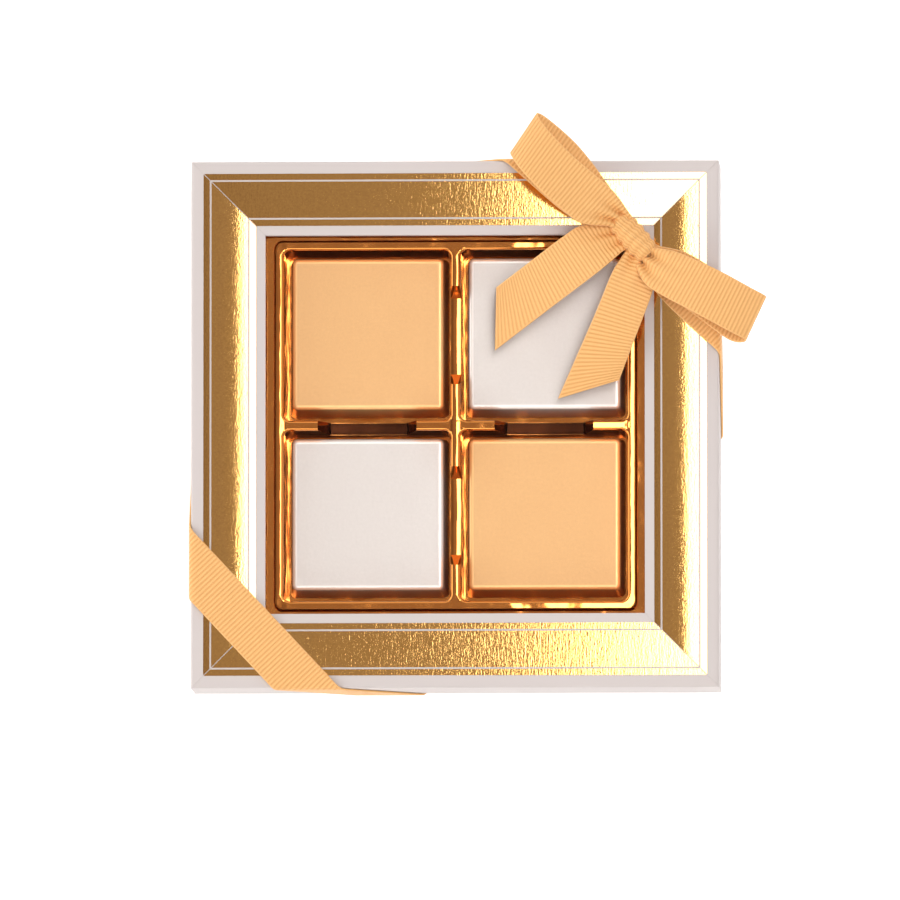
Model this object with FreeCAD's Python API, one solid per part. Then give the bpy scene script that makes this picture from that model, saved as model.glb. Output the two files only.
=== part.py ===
"""Windowed gift box of four wrapped chocolates, lying flat with its lid on.

Millimetres, +Z up. The origin is the centre of the base's underside.
+X is the right and +Y the top of the lid as it is looked at from above.
"""

import FreeCAD
import Part
import math
import os

# Overrun of every cutting solid past the face that it opens
OVERRUN = 1.0
# Slack within which an edge counts as lying at a level
LEVEL_SLACK = 0.01

# Lid: four mitred rails folded from board
LID_SIDE = 128.0
WINDOW_SIDE = 92.0
BOARD = 1.0
RAIL_CROWN = 0.7
RAIL_EDGE_ROUND = 0.6
LIP_DEPTH = 2.4
HEM_WIDTH = 6.0
MITRE_GAP = 0.16
SKIRT_FLOOR_GAP = 4.0

# Gold bands on each rail, counted from the outside edge of the lid
FOIL = 0.1
FOIL_BORDER = 3.0
FOIL_EDGE_BAND = 1.5
FOIL_LINE = 0.45
FOIL_INNER_BORDER = 2.3

# Window film behind the hems
FILM = 0.3
FILM_LAP = 4.5

# Paper stays in the corners of the lid
STAY = 0.3
STAY_LEG = 12.0
STAY_HEIGHT = 14.0
STAY_EDGE_GAP = 1.5

# Base of folded board
BASE_BOARD = 1.5
BASE_GAP = 1.0
BASE_CORNER_ROUND = 0.8
LID_SEAT_GAP = 0.3

# Thermoformed tray
SHEET = 0.5
TRAY_GAP = 0.4
TRAY_SKIRT_DRAFT = 1.4
TRAY_CORNER_ROUND = 4.0
SIDE_FLANGE_SHOW = 1.8
END_FLANGE_SHOW = 0.8
RIM_WIDTH = 2.2
RIM_HEIGHT = 1.5
RIM_DRAFT = 0.3
RIM_ROUND = 0.7
RIM_CORNER_ROUND = 2.3
DIVIDER = 2.4
WELL_CORNER_ROUND = 1.6
WELL_DRAFT = 0.5
FILM_CLEARANCE = 0.8
SCOOP_WIDTH = 24.0
SCOOP_FLOOR_WIDTH = 18.5
SCOOP_DEPTH = 11.0
SCOOP_BELLY = 0.25
SIDE_SCOOP_DEPTH = 4.5

# Chocolates in their foil, pushed up against the tops of their wells
CHOC_HEIGHT = 14.0
CHOC_CORNER_ROUND = 1.4
CHOC_EDGE_ROUND = 0.9
CHOC_DRAFT = 0.9
CHOC_SIDE_GAP = 0.45
CHOC_TOP_GAP = 0.35
CHOC_SINK = 4.5
WRAP = 0.25

# Grosgrain ribbon
RIBBON_WIDTH = 12.0
RIBBON = 0.45
RIBBON_CLEARANCE = 0.1
RIBBON_TUCK = 8.0
RIBBON_BEND = 1.0
RIBBON_TURN_RISE = 0.3
LOWER_RUN_ON_SIDE = 31.5
LOWER_RUN_ON_FRONT = 27.9
UPPER_RUN_ON_SIDE = 39.8
UPPER_RUN_ON_FRONT = 39.8

# Knot of the bow, a barrel along the upper run
KNOT_LENGTH = 11.5
KNOT_WIDTH = 7.0
KNOT_HEIGHT = 6.4
KNOT_END_WIDTH = 5.6
KNOT_END_HEIGHT = 5.0

# Loops of the bow: reach from the knot, rise, belly and the round of the fold at the tip
LEFT_LOOP_REACH = 31.0
LEFT_LOOP_ANGLE = 142.0
LEFT_LOOP_ROLL = 14.0
RIGHT_LOOP_REACH = 27.8
RIGHT_LOOP_ANGLE = -30.0
RIGHT_LOOP_ROLL = -14.0
LOOP_RISE = 4.6
LOOP_TIP_ROUND = 2.2
LOOP_SHOULDER_SHARE = 0.82
LOOP_UNDER_SHARE = 0.6
LOOP_ROOT_GAP = 1.3
LOOP_ROOT_HEADING = 30.0
LOOP_ROOT_WIDTH = 6.0
LOOP_GATHER = 10.0
SEAT_GAP = 0.2

# Tails of the bow
LEFT_TAIL_REACH = 41.0
LEFT_TAIL_ANGLE = 215.0
LEFT_TAIL_ROOT = -1.6
RIGHT_TAIL_REACH = 38.0
RIGHT_TAIL_ANGLE = 246.0
RIGHT_TAIL_ROOT = 4.4
TAIL_ROOT_WIDTH = 4.6
TAIL_GATHER = 13.0
TAIL_CUT_ANGLE = 50.0
TAIL_RISE = 1.6
TAIL_DROP = 6.0
TAIL_CREST_SHARE = 0.33
TAIL_ROOT_HEADING = 15.0
TAIL_ROOT_LIFT = -0.6

# Places worked out from the sizes above
LID_HALF = LID_SIDE / 2
WINDOW_HALF = WINDOW_SIDE / 2
RAIL_WIDTH = LID_HALF - WINDOW_HALF
BASE_HALF = LID_HALF - BOARD - BASE_GAP
TRAY_HALF = BASE_HALF - BASE_BOARD - TRAY_GAP
WELL_FLOOR_Z = BASE_BOARD + SHEET
CHOC_TOP_Z = WELL_FLOOR_Z + CHOC_HEIGHT
RIM_Z = CHOC_TOP_Z + CHOC_SINK
FLANGE_Z = RIM_Z - RIM_HEIGHT
FILM_Z = RIM_Z + FILM_CLEARANCE
HEM_Z = FILM_Z + FILM
FOLD_Z = HEM_Z + LIP_DEPTH
CREST_Z = FOLD_Z + RAIL_CROWN
BASE_TOP_Z = FOLD_Z - BOARD - LID_SEAT_GAP
RIM_HALF_X = WINDOW_HALF - SIDE_FLANGE_SHOW
RIM_HALF_Y = WINDOW_HALF - END_FLANGE_SHOW
WELL_OUTER_X = RIM_HALF_X - RIM_DRAFT - RIM_WIDTH
WELL_OUTER_Y = RIM_HALF_Y - RIM_DRAFT - RIM_WIDTH
WELL_CENTRE_X = (WELL_OUTER_X + DIVIDER / 2) / 2
WELL_CENTRE_Y = (WELL_OUTER_Y + DIVIDER / 2) / 2
MOUTH_HALF_X = WELL_OUTER_X - WELL_CENTRE_X
MOUTH_HALF_Y = WELL_OUTER_Y - WELL_CENTRE_Y
FLOOR_HALF_X = MOUTH_HALF_X - WELL_DRAFT
FLOOR_HALF_Y = MOUTH_HALF_Y - WELL_DRAFT
CHOC_HALF = FLOOR_HALF_X - CHOC_SIDE_GAP
CHOC_SHIFT_Y = FLOOR_HALF_Y - CHOC_HALF - CHOC_TOP_GAP
RIBBON_Z = CREST_Z + RIBBON_CLEARANCE
RIBBON_TOP_Z = RIBBON_Z + RIBBON
KNOT_X = LID_HALF - UPPER_RUN_ON_FRONT / 2
KNOT_Y = LID_HALF - UPPER_RUN_ON_SIDE / 2
KNOT_Z = RIBBON_TOP_Z + KNOT_HEIGHT / 2
KNOT_AXIS_ANGLE = -math.degrees(math.atan2(UPPER_RUN_ON_SIDE, UPPER_RUN_ON_FRONT))

SIDES = ("top", "left", "bottom", "right")
CORNERS = {"top_left": (-1, 1), "top_right": (1, 1), "bottom_left": (-1, -1), "bottom_right": (1, -1)}
UP = FreeCAD.Vector(0, 0, 1)


def point(x, y, z=0):
    """A point in the part's frame."""
    return FreeCAD.Vector(x, y, z)


def lines(points):
    """The straight edges that join the points in turn."""
    return [Part.LineSegment(a, b).toShape() for a, b in zip(points, points[1:])]


def arc(a, b, c):
    """The arc from a through b to c."""
    return Part.Arc(a, b, c).toShape()


def face_of(edges):
    """The flat face that a closed run of edges bounds."""
    return Part.Face(Part.Wire(Part.__sortEdges__(edges)))


def prism(points, low, high):
    """An upright prism on a closed outline of (x, y) points."""
    ring = [point(x, y, low) for x, y in points]
    return face_of(lines(ring + ring[:1])).extrude(UP * (high - low))


def taper(low_halves, low_z, high_halves, high_z, corner_round):
    """A drafted block, from its half sizes at one level to those at another, with round corners."""
    low_x, low_y = low_halves
    high_x, high_y = high_halves
    near = (-low_x, low_z, -low_y, -high_y, -high_x)
    far = (low_x, high_z, low_y, high_y, high_x)
    block = turned(Part.makeWedge(*near, *far), 90, point(1, 0))
    upright = [e for e in block.Edges if e.BoundBox.ZLength > LEVEL_SLACK]
    return block.makeFillet(corner_round, upright)


def moved(shape, x, y, z=0):
    """A copy of the shape, shifted."""
    copy = shape.copy()
    copy.translate(point(x, y, z))
    return copy


def turned(shape, degrees, axis=UP, centre=None):
    """A copy of the shape, turned about an axis."""
    copy = shape.copy()
    copy.rotate(centre or point(0, 0), axis, degrees)
    return copy


def union(shapes):
    """One solid of shapes that share faces."""
    return shapes[0].fuse(shapes[1:]).removeSplitter()


def edges_at(shape, z):
    """The edges that lie all along one level."""
    box_edges = [(edge, edge.BoundBox) for edge in shape.Edges]
    return [e for e, box in box_edges if max(abs(box.ZMin - z), abs(box.ZMax - z)) < LEVEL_SLACK]


def base_box():
    """The base of folded board, open at the top."""
    outer = Part.makeBox(BASE_HALF * 2, BASE_HALF * 2, BASE_TOP_Z, point(-BASE_HALF, -BASE_HALF))
    upright = [e for e in outer.Edges if e.BoundBox.ZLength > BASE_TOP_Z / 2]
    outer = outer.makeFillet(BASE_CORNER_ROUND, upright)
    inner_half = BASE_HALF - BASE_BOARD
    corner = point(-inner_half, -inner_half, BASE_BOARD)
    return outer.cut(Part.makeBox(inner_half * 2, inner_half * 2, BASE_TOP_Z, corner))


def scoop(depth, reach, grow):
    """A finger scoop across a divider along X: sloped ends and a bellied floor, reaching into both wells."""
    top = RIM_Z + OVERRUN
    slope = (SCOOP_WIDTH - SCOOP_FLOOR_WIDTH) / 2 / depth
    half_top = SCOOP_WIDTH / 2 + grow + slope * OVERRUN
    half_low = SCOOP_FLOOR_WIDTH / 2 + grow
    low = RIM_Z - depth - grow
    corners = [point(s * half, -reach, z) for s, half, z in ((-1, half_low, low), (-1, half_top, top))]
    corners += [point(s * half, -reach, z) for s, half, z in ((1, half_top, top), (1, half_low, low))]
    belly = arc(corners[3], point(0, -reach, low - SCOOP_BELLY), corners[0])
    return face_of([*lines(corners), belly]).extrude(point(0, reach * 2))


def tray_hollows(grow):
    """The four wells and the four finger scoops, grown by a wall."""
    floor = (FLOOR_HALF_X + grow, FLOOR_HALF_Y + grow)
    mouth = (MOUTH_HALF_X + grow, MOUTH_HALF_Y + grow)
    well = taper(floor, WELL_FLOOR_Z - grow, mouth, RIM_Z, WELL_CORNER_ROUND + grow)
    hollows = [moved(well, x * WELL_CENTRE_X, y * WELL_CENTRE_Y) for x, y in CORNERS.values()]
    across = scoop(SCOOP_DEPTH, WELL_CENTRE_Y - FLOOR_HALF_Y, grow)
    along = turned(scoop(SIDE_SCOOP_DEPTH, WELL_CENTRE_X - FLOOR_HALF_X, grow), 90)
    hollows += [moved(across, side * WELL_CENTRE_X, 0) for side in (-1, 1)]
    hollows += [moved(along, 0, side * WELL_CENTRE_Y) for side in (-1, 1)]
    return hollows


def tray_block(shrink):
    """The outside of the tray as a full block: drafted skirt, flange and rim, drawn in by a wall."""
    flange = FLANGE_Z - shrink
    skirt_low = TRAY_HALF - shrink
    skirt_high = skirt_low - TRAY_SKIRT_DRAFT
    rim_low = (RIM_HALF_X - shrink, RIM_HALF_Y - shrink)
    rim_high = [half - RIM_DRAFT for half in rim_low]
    skirt_round, rim_round = TRAY_CORNER_ROUND - shrink, RIM_CORNER_ROUND - shrink
    skirt = taper((skirt_low, skirt_low), BASE_BOARD, (skirt_high, skirt_high), flange, skirt_round)
    rim = taper(rim_low, flange, rim_high, RIM_Z - shrink, rim_round)
    return skirt.fuse(rim)


def insert_tray():
    """The thermoformed tray: one thin sheet drawn into wells, with its underside open."""
    wells = tray_hollows(0)
    face = tray_block(0).cut(wells[:4])
    face = face.makeFillet(RIM_ROUND, edges_at(face, RIM_Z))
    face = face.cut(wells[4:])
    underside = tray_block(SHEET).cut(tray_hollows(SHEET))
    return face.cut(underside).removeSplitter()


def chocolate_block(inset):
    """A chocolate's outside at an inset from its foil's outer face."""
    low, high = WELL_FLOOR_Z + inset, CHOC_TOP_Z - inset
    base, top = CHOC_HALF - inset, CHOC_HALF - CHOC_DRAFT - inset
    block = taper((base, base), low, (top, top), high, CHOC_CORNER_ROUND - inset)
    return block.makeFillet(CHOC_EDGE_ROUND - inset, edges_at(block, high))


def crown_curve(from_edge):
    """Height of a rail's crowned face over its folds, at a distance in from the lid's edge."""
    radius = crown_radius()
    across = from_edge - RAIL_WIDTH / 2
    return math.sqrt(radius**2 - across**2) - (radius - RAIL_CROWN)


def crown_radius():
    """Radius of the rail's crowned face."""
    return (RAIL_WIDTH**2 / 4 + RAIL_CROWN**2) / (RAIL_CROWN * 2)


def crown_arc(near, far, lift):
    """The crowned line between two distances from the lid's edge, in the plane across the top rail."""
    places = [near, (near + far) / 2, far]
    return [point(0, LID_HALF - d, FOLD_Z + crown_curve(d) + lift) for d in places]


def mitred(shape, gap):
    """The shape cut to the top rail's sector, between its two mitres."""
    reach = LID_SIDE
    sector = [(0, gap), (reach, reach + gap), (-reach, reach + gap)]
    return shape.common(prism(sector, 0, CREST_Z + OVERRUN))


def along_rail(face):
    """A profile across the top rail, run past both mitres."""
    run = face.copy()
    run.translate(point(-LID_HALF, 0))
    return run.extrude(point(LID_SIDE, 0))


def frame_rail():
    """The top rail: skirt wall, crowned face, lip round the window and a hem under it."""
    skirt_face = LID_HALF - BOARD
    lip_back = WINDOW_HALF + BOARD
    hem_end = WINDOW_HALF + HEM_WIDTH
    top = crown_arc(0, RAIL_WIDTH, 0)
    under = crown_arc(BOARD, RAIL_WIDTH - BOARD, -BOARD)
    outside = [top[2], point(0, WINDOW_HALF, HEM_Z), point(0, hem_end, HEM_Z)]
    hem_back = [point(0, hem_end, HEM_Z + BOARD), point(0, lip_back, HEM_Z + BOARD), under[2]]
    skirt = [under[0], point(0, skirt_face, SKIRT_FLOOR_GAP), point(0, LID_HALF, SKIRT_FLOOR_GAP), top[0]]
    edges = [arc(*top), *lines(outside + hem_back), arc(*reversed(under)), *lines(skirt)]
    rail = along_rail(face_of(edges))
    folds = [e for e in edges_at(rail, FOLD_Z) if e.BoundBox.YMin > LID_HALF - LEVEL_SLACK]
    return mitred(rail.makeFillet(RAIL_EDGE_ROUND, folds), MITRE_GAP)


def foil_bands():
    """The gold bands of the top rail: an edge band, the wide band and an inner band."""
    outer = FOIL_BORDER
    inner = RAIL_WIDTH - FOIL_INNER_BORDER
    step = FOIL_EDGE_BAND + FOIL_LINE
    spans = [(outer, outer + FOIL_EDGE_BAND), (outer + step, inner - step), (inner - FOIL_EDGE_BAND, inner)]
    bands = []
    for near, far in spans:
        low = crown_arc(near, far, 0)
        high = crown_arc(near, far, FOIL)
        sides = [*lines([low[2], high[2]]), *lines([high[0], low[0]])]
        edges = [arc(*low), arc(*reversed(high)), *sides]
        bands.append(mitred(along_rail(face_of(edges)), MITRE_GAP))
    return Part.makeCompound(bands)


def window_film():
    """The clear film glued under the hems."""
    half = WINDOW_HALF + FILM_LAP
    return Part.makeBox(half * 2, half * 2, FILM, point(-half, -half, FILM_Z))


def corner_stays():
    """Four paper angles that join the skirt walls inside the corners of the lid."""
    outer = LID_HALF - BOARD
    low = SKIRT_FLOOR_GAP + STAY_EDGE_GAP
    inner = outer - STAY
    leg = outer - STAY_LEG
    outline = [(outer, outer), (leg, outer), (leg, inner), (inner, inner), (inner, leg), (outer, leg)]
    stay = prism(outline, low, low + STAY_HEIGHT)
    return Part.makeCompound([turned(stay, 90 * quarter) for quarter in range(4)])


def ribbon_edge(centre, half, slope):
    """The ribbon's run over the lid's left edge, down its wall, round the skirt and up inside.

    centre and half place it along the edge from the lower corner, and slope is how far it
    climbs along the edge for each length down the wall.
    """
    wall_out = LID_HALF + RIBBON_CLEARANCE
    bend_x = wall_out - RIBBON_BEND
    bend_z = RIBBON_Z - RIBBON_BEND
    tuck_out = LID_HALF - BOARD - RIBBON_CLEARANCE
    turn_x = (wall_out + tuck_out) / 2
    turn_radius = (wall_out - tuck_out) / 2
    turn_z = SKIRT_FLOOR_GAP + RIBBON_TURN_RISE
    drop = bend_z - turn_z
    low, high = centre - half - LID_HALF, centre + half - LID_HALF

    def ring(x, z, radius, start, through, end, at):
        """A bent stretch about an axis along the edge."""

        def rim(r, degrees):
            turn = math.radians(degrees)
            return point(-x - r * math.cos(turn), low + at, z + r * math.sin(turn))

        outer = radius + RIBBON
        inside = [rim(radius, a) for a in (start, through, end)]
        outside = [rim(outer, a) for a in (end, through, start)]
        joins = [*lines([inside[2], outside[0]]), *lines([outside[2], inside[0]])]
        return face_of([arc(*inside), arc(*outside), *joins]).extrude(point(0, high - low))

    def wall(x, z_start, z_end, at):
        """A flat stretch that climbs along the edge as it goes."""
        climb = abs(z_end - z_start) * slope
        start, end = (low + at, high + at), (high + at + climb, low + at + climb)
        outline = [point(-x, y, z_start) for y in start] + [point(-x, y, z_end) for y in end]
        return face_of(lines(outline + outline[:1])).extrude(point(-RIBBON, 0))

    shift = drop * slope
    return [
        ring(bend_x, bend_z, RIBBON_BEND, 90, 45, 0, 0),
        wall(wall_out, bend_z, turn_z, 0),
        ring(turn_x, turn_z, turn_radius, 0, -90, -180, shift),
        wall(tuck_out - RIBBON, turn_z, turn_z + RIBBON_TUCK, shift),
    ]


def corner_ribbon(on_side, on_front):
    """The ribbon across the lower left corner of the lid, tucked up inside the skirt at both ends."""
    length = math.hypot(on_side, on_front)
    side_half = RIBBON_WIDTH / 2 * length / on_front
    front_half = RIBBON_WIDTH / 2 * length / on_side
    start = RIBBON_BEND - RIBBON_CLEARANCE
    corner = -LID_HALF
    outline = [(start, on_side + side_half), (start, on_side - side_half)]
    outline += [(on_front - front_half, start), (on_front + front_half, start)]
    plate = prism([(corner + u, corner + v) for u, v in outline], RIBBON_Z, RIBBON_TOP_Z)
    left = ribbon_edge(on_side, side_half, on_side / on_front)
    lower = ribbon_edge(on_front, front_half, on_front / on_side)
    lower = [s.mirror(point(0, 0), point(1, -1)) for s in lower]
    return union([plate, *left, *lower])


def bow_axis():
    """The direction of the knot's axis, along the upper run and down to the right."""
    turn = math.radians(KNOT_AXIS_ANGLE)
    return point(math.cos(turn), math.sin(turn))


def knot_ring(along, width, height):
    """A section of the knot's barrel across its axis: flat below, round above."""
    side = width / 2
    low = -KNOT_HEIGHT / 2
    shoulder = low + height / 2
    corners = [point(along, side, low), point(along, -side, low)]
    crown = arc(point(along, -side, shoulder), point(along, 0, low + height), point(along, side, shoulder))
    right = lines([corners[1], point(along, -side, shoulder)])
    left = lines([point(along, side, shoulder), corners[0]])
    return Part.Wire(Part.__sortEdges__([*lines(corners), *right, crown, *left]))


def bow_knot():
    """The knot: a barrel that swells at its middle, lying on the upper run."""
    end = KNOT_LENGTH / 2
    sections = [(-end, KNOT_END_WIDTH, KNOT_END_HEIGHT), (0, KNOT_WIDTH, KNOT_HEIGHT)]
    sections.append((end, KNOT_END_WIDTH, KNOT_END_HEIGHT))
    halves = [
        Part.makeLoft([knot_ring(*a), knot_ring(*b)], True, True) for a, b in zip(sections, sections[1:])
    ]
    knot = turned(union(halves), KNOT_AXIS_ANGLE)
    return moved(knot, KNOT_X, KNOT_Y, KNOT_Z)


def next_arc(start, heading, end):
    """The arc that leaves start on a heading and ends at end, in XZ: its points, centre and last heading."""
    chord = end - start
    bearing = math.atan2(chord.z, chord.x)
    half_turn = math.remainder(bearing - heading, math.tau)
    bulge = math.tan(half_turn / 2) * chord.Length / 2
    aside = point(math.sin(bearing), 0, -math.cos(bearing))
    middle = (start + end) / 2 + aside * bulge
    radius = chord.Length / 2 / math.sin(half_turn)
    centre = middle - aside * radius
    return (start, middle, end), centre, heading + half_turn * 2


def strip_face(start, heading, ends):
    """A ribbon's edge-on profile in XZ: arcs that run smoothly on through the ends, with its thickness."""
    edges, caps = [], []
    angle = math.radians(heading)
    for end in ends:
        spots, centre, angle = next_arc(start, angle, end)
        shares = thickness_shares(spots, centre)
        inner, outer = ([centre + (p - centre) * share for p in spots] for share in shares)
        edges += [arc(*inner), arc(*outer)]
        caps += [(inner[0], outer[0]), (inner[2], outer[2])]
        start = end
    return face_of([*edges, *lines(caps[0]), *lines(caps[-1])])


def thickness_shares(spots, centre):
    """The shares of an arc's radius that lie half a ribbon's thickness to each side of it."""
    radius = (spots[0] - centre).Length
    return 1 - RIBBON / 2 / radius, 1 + RIBBON / 2 / radius


def plan_outline(reach, root_width, gather, cut_angle):
    """The ribbon's plan from the knot: gathered at its root, full width after the gather, cut at its end."""
    root = root_width / 2
    half = RIBBON_WIDTH / 2
    back = RIBBON_WIDTH / math.tan(math.radians(cut_angle))
    return [(0, -root), (gather, -half), (reach, -half), (reach - back, half), (gather, half), (0, root)]


def from_knot(shape, along, aside, lift, angle, roll):
    """A piece of the bow, rolled about its own line, turned to its angle and set at the knot."""
    axis = bow_axis()
    across = point(axis.y, -axis.x)
    place = axis * along + across * aside
    piece = turned(turned(shape, roll, point(1, 0)), angle)
    return moved(piece, KNOT_X + place.x, KNOT_Y + place.y, KNOT_Z + lift)


def loop_strip(reach):
    """A loop's profile: over the top, round the fold at the tip and back underneath."""
    root = LOOP_ROOT_GAP / 2
    tip = reach - RIBBON / 2
    middle = LOOP_RISE - LOOP_TIP_ROUND
    ends = [
        point(tip / 2, 0, LOOP_RISE),
        point(tip - LOOP_TIP_ROUND, 0, middle + LOOP_TIP_ROUND * LOOP_SHOULDER_SHARE),
        point(tip, 0, middle),
        point(tip - LOOP_TIP_ROUND * LOOP_UNDER_SHARE, 0, middle - LOOP_TIP_ROUND * LOOP_SHOULDER_SHARE),
        point(0, 0, -root),
    ]
    return strip_face(point(0, 0, root), LOOP_ROOT_HEADING, ends)


def bow_loop(reach, end, angle, roll):
    """One loop: its closed profile drawn through the ribbon's width, gathered in plan at the knot."""
    strip = loop_strip(reach)
    width = RIBBON_WIDTH
    strip.translate(point(0, -width / 2))
    band = strip.extrude(point(0, width))
    plan = plan_outline(reach, LOOP_ROOT_WIDTH, LOOP_GATHER, 90)
    loop = band.common(prism(plan, -LID_HALF, LID_HALF))
    slant = math.sin(math.radians(angle - KNOT_AXIS_ANGLE))
    along = end * (KNOT_LENGTH / 2 + SEAT_GAP + abs(slant) * LOOP_ROOT_WIDTH / 2)
    return from_knot(loop, along, 0, 0, angle, roll)


def tail_strip(reach):
    """A tail's profile: it rises from the knot, crests and falls to its cut end."""
    ends = [point(reach * TAIL_CREST_SHARE, 0, TAIL_RISE), point(reach, 0, TAIL_RISE - TAIL_DROP)]
    return strip_face(point(0, 0), TAIL_ROOT_HEADING, ends)


def bow_tail(reach, angle, along, cut_side):
    """One tail: gathered at the knot, crested, and cut on the slant."""
    strip = tail_strip(reach)
    width = RIBBON_WIDTH
    strip.translate(point(0, -width / 2))
    band = strip.extrude(point(0, width))
    plan = [(x, y * cut_side) for x, y in plan_outline(reach, TAIL_ROOT_WIDTH, TAIL_GATHER, TAIL_CUT_ANGLE)]
    tail = band.common(prism(plan, -LID_HALF, LID_HALF))
    aside = KNOT_WIDTH / 2 + SEAT_GAP
    return from_knot(tail, along, aside, TAIL_ROOT_LIFT, angle, 0)


def build():
    """Every piece by its name."""
    parts = {"base_box": base_box(), "insert_tray": insert_tray()}
    core = chocolate_block(WRAP)
    shell = chocolate_block(0).cut(core)
    for name, (x, y) in CORNERS.items():
        place = (x * WELL_CENTRE_X, y * WELL_CENTRE_Y + CHOC_SHIFT_Y)
        parts[f"wrapper_{name}"] = moved(shell, *place)
        parts[f"chocolate_{name}"] = moved(core, *place)
    rail = frame_rail()
    foil = foil_bands()
    for quarter, name in enumerate(SIDES):
        parts[f"frame_rail_{name}"] = turned(rail, 90 * quarter)
        parts[f"foil_bands_{name}"] = turned(foil, 90 * quarter)
    parts["window_film"] = window_film()
    parts["corner_stays"] = corner_stays()
    parts["ribbon_lower_left"] = corner_ribbon(LOWER_RUN_ON_SIDE, LOWER_RUN_ON_FRONT)
    parts["ribbon_upper_right"] = turned(corner_ribbon(UPPER_RUN_ON_SIDE, UPPER_RUN_ON_FRONT), 180)
    parts["bow_knot"] = bow_knot()
    parts["bow_loop_left"] = bow_loop(LEFT_LOOP_REACH, -1, LEFT_LOOP_ANGLE, LEFT_LOOP_ROLL)
    parts["bow_loop_right"] = bow_loop(RIGHT_LOOP_REACH, 1, RIGHT_LOOP_ANGLE, RIGHT_LOOP_ROLL)
    parts["bow_tail_left"] = bow_tail(LEFT_TAIL_REACH, LEFT_TAIL_ANGLE, LEFT_TAIL_ROOT, -1)
    parts["bow_tail_right"] = bow_tail(RIGHT_TAIL_REACH, RIGHT_TAIL_ANGLE, RIGHT_TAIL_ROOT, 1)
    return parts


def main():
    """Writes each piece to its own file."""
    os.makedirs("parts", exist_ok=True)
    for name, shape in build().items():
        assert shape.isValid(), name
        print(name, len(shape.Solids), round(shape.Volume, 1))
        shape.exportStep(f"parts/{name}.step")


main()
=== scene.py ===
"""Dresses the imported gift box: board, gold foil, tray, wrapped chocolates, film and ribbon.

Metres, in the part's own frame: +Z up, +X and +Y the right and the top of the lid.
"""

import logging
import math
from dataclasses import dataclass, field
from enum import Enum
from typing import Iterable

import bmesh
import bpy
from mathutils import Matrix, Vector


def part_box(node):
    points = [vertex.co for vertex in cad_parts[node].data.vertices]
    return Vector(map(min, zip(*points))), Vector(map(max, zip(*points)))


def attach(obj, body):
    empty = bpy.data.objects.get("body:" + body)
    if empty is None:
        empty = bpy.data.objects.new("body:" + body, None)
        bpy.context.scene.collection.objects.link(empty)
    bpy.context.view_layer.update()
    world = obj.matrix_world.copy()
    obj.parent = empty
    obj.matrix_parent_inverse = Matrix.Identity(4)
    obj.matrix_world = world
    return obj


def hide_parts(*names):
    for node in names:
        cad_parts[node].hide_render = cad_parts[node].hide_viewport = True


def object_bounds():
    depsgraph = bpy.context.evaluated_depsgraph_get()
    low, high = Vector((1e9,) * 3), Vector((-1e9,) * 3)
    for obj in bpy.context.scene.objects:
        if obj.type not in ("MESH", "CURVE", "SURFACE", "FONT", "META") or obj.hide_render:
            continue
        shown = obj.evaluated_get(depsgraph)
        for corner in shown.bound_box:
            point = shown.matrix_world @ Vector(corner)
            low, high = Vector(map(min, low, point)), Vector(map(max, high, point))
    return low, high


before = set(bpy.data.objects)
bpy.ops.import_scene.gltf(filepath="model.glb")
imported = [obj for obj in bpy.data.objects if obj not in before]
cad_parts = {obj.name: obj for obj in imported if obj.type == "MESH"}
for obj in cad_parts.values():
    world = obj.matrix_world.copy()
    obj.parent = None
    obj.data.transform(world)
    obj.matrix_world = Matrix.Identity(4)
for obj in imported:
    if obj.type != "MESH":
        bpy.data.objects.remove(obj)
CAD_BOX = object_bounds()
LOG = logging.getLogger("gift_box")
MM = 0.001

# Sockets of the Mix node that hold colours: two inputs and an output
MIX_LOW, MIX_HIGH, MIX_RESULT = 6, 7, 2

Colour = tuple[float, float, float]
Socket = bpy.types.NodeSocket


class Corner(Enum):
    """The four wells, by the side of the lid that each lies at."""

    TOP_LEFT = "top_left"
    TOP_RIGHT = "top_right"
    BOTTOM_LEFT = "bottom_left"
    BOTTOM_RIGHT = "bottom_right"


class Side(Enum):
    """The four rails of the lid."""

    TOP = "top"
    LEFT = "left"
    BOTTOM = "bottom"
    RIGHT = "right"


class Weave(Enum):
    """The UV map that carries a ribbon's own lengthways and crossways measure."""

    UV = "ribbon_measure"


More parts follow.
